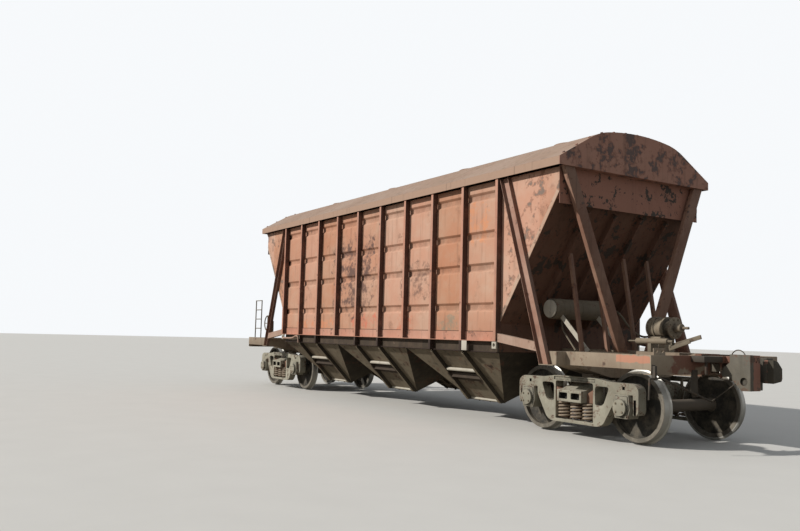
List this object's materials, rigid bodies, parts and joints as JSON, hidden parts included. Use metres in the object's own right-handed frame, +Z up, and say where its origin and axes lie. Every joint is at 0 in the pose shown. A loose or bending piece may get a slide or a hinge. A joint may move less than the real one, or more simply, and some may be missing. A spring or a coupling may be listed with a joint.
{
  "type": "covered hopper wagon",
  "caption": "Covered bulk hopper wagon with pressed steel sides, arched roof, hinged roof hatches, bottom discharge doors and two swivelling three-piece bogies.",
  "frame": {"origin": "on the floor under the middle of the wagon, at the wheel flanges' lowest level", "axes": "+X along the wagon towards the end with the brake cylinder, +Y to its left side, +Z up"},
  "size_m": [14.976, 3.236, 4.6325],
  "materials": {
    "salmon_paint": "faded, chalky",
    "brown_paint": "faded, peeled to primer",
    "frame_paint": "dusty",
    "hopper_paint": "dusty",
    "cast_steel": "dusty cast steel",
    "spring_steel": "rusty",
    "wheel_steel": "dark, bright tread",
    "coupler_steel": "rusty cast steel",
    "fittings_paint": "dusty dark paint",
    "roof_paint": "faded",
    "boards": "weathered boards"
  },
  "bodies": {
    "wagon_body": {"centre_sill": "frame_paint", "sill_saddle": "hopper_paint", "body_bolsters": "frame_paint", "end_platform_near": "frame_paint", "end_platform_far": "frame_paint", "side_sheets_left": "salmon_paint", "side_sheets_right": "salmon_paint", "side_posts_left": "salmon_paint", "side_posts_right": "salmon_paint", "end_wall_near": "brown_paint", "end_wall_far": "brown_paint", "gables": "brown_paint", "roof": "roof_paint", "running_boards": "boards", "side_struts": "brown_paint", "corner_beams": "brown_paint", "end_struts": "brown_paint", "slope_posts": "brown_paint", "coupler_near": "coupler_steel", "coupler_far": "coupler_steel", "uncoupling_gear_near": "fittings_paint", "uncoupling_gear_far": "fittings_paint", "air_reservoir": "fittings_paint", "brake_cylinder": "fittings_paint", "slack_adjuster": "fittings_paint", "hand_brake": "fittings_paint", "ladder": "fittings_paint", "tow_lugs": "fittings_paint", "hopper_near": "hopper_paint", "hopper_middle": "hopper_paint", "hopper_far": "hopper_paint"},
    "lid_1": {"hatch_lid_1": "roof_paint"},
    "lid_2": {"hatch_lid_2": "roof_paint"},
    "lid_3": {"hatch_lid_3": "roof_paint"},
    "lid_4": {"hatch_lid_4": "roof_paint"},
    "door_near_left": {"door_near_left": "hopper_paint"},
    "door_near_right": {"door_near_right": "hopper_paint"},
    "door_middle_left": {"door_middle_left": "hopper_paint"},
    "door_middle_right": {"door_middle_right": "hopper_paint"},
    "door_far_left": {"door_far_left": "hopper_paint"},
    "door_far_right": {"door_far_right": "hopper_paint"},
    "bogie_near": {"bogie_bolster_near": "cast_steel", "side_frames_near": "cast_steel", "springs_near": "spring_steel", "axle_boxes_near": "cast_steel", "brake_gear_near": "cast_steel"},
    "wheelset_near_outer": {"wheelset_near_outer": "wheel_steel"},
    "wheelset_near_inner": {"wheelset_near_inner": "wheel_steel"},
    "bogie_far": {"bogie_bolster_far": "cast_steel", "side_frames_far": "cast_steel", "springs_far": "spring_steel", "axle_boxes_far": "cast_steel", "brake_gear_far": "cast_steel"},
    "wheelset_far_outer": {"wheelset_far_outer": "wheel_steel"},
    "wheelset_far_inner": {"wheelset_far_inner": "wheel_steel"}
  },
  "joints": [
    {"name": "bogie_near_swivel", "type": "hinge", "parent": "wagon_body", "child": "bogie_near", "pos_m": [5.17, 0, 0.829], "axis": [0, 0, 1], "range_deg": [-5, 5]},
    {"name": "wheelset_near_outer_spin", "type": "hinge", "parent": "bogie_near", "child": "wheelset_near_outer", "pos_m": [6.095, 0, 0.5065], "axis": [0, 1, 0], "continuous": true},
    {"name": "wheelset_near_inner_spin", "type": "hinge", "parent": "bogie_near", "child": "wheelset_near_inner", "pos_m": [4.245, 0, 0.5065], "axis": [0, 1, 0], "continuous": true},
    {"name": "bogie_far_swivel", "type": "hinge", "parent": "wagon_body", "child": "bogie_far", "pos_m": [-5.17, 0, 0.829], "axis": [0, 0, 1], "range_deg": [-5, 5]},
    {"name": "wheelset_far_outer_spin", "type": "hinge", "parent": "bogie_far", "child": "wheelset_far_outer", "pos_m": [-6.095, 0, 0.5065], "axis": [0, 1, 0], "continuous": true},
    {"name": "wheelset_far_inner_spin", "type": "hinge", "parent": "bogie_far", "child": "wheelset_far_inner", "pos_m": [-4.245, 0, 0.5065], "axis": [0, 1, 0], "continuous": true},
    {"name": "hatch_lid_1_hinge", "type": "hinge", "parent": "wagon_body", "child": "lid_1", "pos_m": [3.976, 0.352, 4.55652], "axis": [-1, 0, 0], "range_deg": [0, 110]},
    {"name": "hatch_lid_2_hinge", "type": "hinge", "parent": "wagon_body", "child": "lid_2", "pos_m": [1.325, 0.352, 4.55652], "axis": [-1, 0, 0], "range_deg": [0, 110]},
    {"name": "hatch_lid_3_hinge", "type": "hinge", "parent": "wagon_body", "child": "lid_3", "pos_m": [-1.325, 0.352, 4.55652], "axis": [-1, 0, 0], "range_deg": [0, 110]},
    {"name": "hatch_lid_4_hinge", "type": "hinge", "parent": "wagon_body", "child": "lid_4", "pos_m": [-3.976, 0.352, 4.55652], "axis": [-1, 0, 0], "range_deg": [0, 110]},
    {"name": "door_near_left_hinge", "type": "hinge", "parent": "wagon_body", "child": "door_near_left", "pos_m": [2.651, 0.24183, 0.54542], "axis": [-1, 0, 0], "range_deg": [0, 48]},
    {"name": "door_near_right_hinge", "type": "hinge", "parent": "wagon_body", "child": "door_near_right", "pos_m": [2.651, -0.24183, 0.54542], "axis": [1, 0, 0], "range_deg": [0, 48]},
    {"name": "door_middle_left_hinge", "type": "hinge", "parent": "wagon_body", "child": "door_middle_left", "pos_m": [0, 0.24183, 0.54542], "axis": [-1, 0, 0], "range_deg": [0, 48]},
    {"name": "door_middle_right_hinge", "type": "hinge", "parent": "wagon_body", "child": "door_middle_right", "pos_m": [0, -0.24183, 0.54542], "axis": [1, 0, 0], "range_deg": [0, 48]},
    {"name": "door_far_left_hinge", "type": "hinge", "parent": "wagon_body", "child": "door_far_left", "pos_m": [-2.651, 0.24183, 0.54542], "axis": [-1, 0, 0], "range_deg": [0, 48]},
    {"name": "door_far_right_hinge", "type": "hinge", "parent": "wagon_body", "child": "door_far_right", "pos_m": [-2.651, -0.24183, 0.54542], "axis": [1, 0, 0], "range_deg": [0, 48]}
  ]
}
